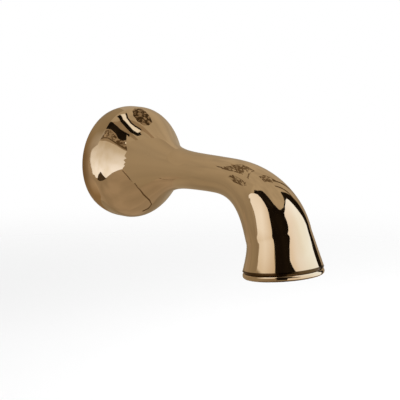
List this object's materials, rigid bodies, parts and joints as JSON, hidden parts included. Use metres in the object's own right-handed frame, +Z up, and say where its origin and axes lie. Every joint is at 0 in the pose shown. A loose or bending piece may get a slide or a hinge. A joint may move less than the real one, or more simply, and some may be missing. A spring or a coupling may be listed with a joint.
{
  "type": "wall spout",
  "caption": "Fixed wall spout: round flange flared into a tapering barrel, an eased bend and a bell mouth with a turned bead, hollow, on a pipe adapter",
  "frame": {"origin": "centre of the inlet in the wall plane, which is also the centre of the flange's back face", "axes": "+Y into the wall, the way the supply pipe leaves the inlet; -Y the way the spout reaches; +Z up; +X to the right of someone who faces the wall"},
  "size_m": [0.07, 0.1583, 0.0908],
  "materials": {
    "bronze": "polished antique bronze",
    "brass": "machined",
    "steel": "plain",
    "rubber": "matte",
    "plastic": "moulded"
  },
  "bodies": {
    "root": {"spout_body": "bronze", "wall_gasket": "rubber", "pipe_adapter": "brass", "adapter_o_rings": "rubber", "grub_screw": "steel", "outlet_washer": "rubber", "flow_straightener": "plastic", "outlet_collar": "brass"}
  },
  "joints": []
}
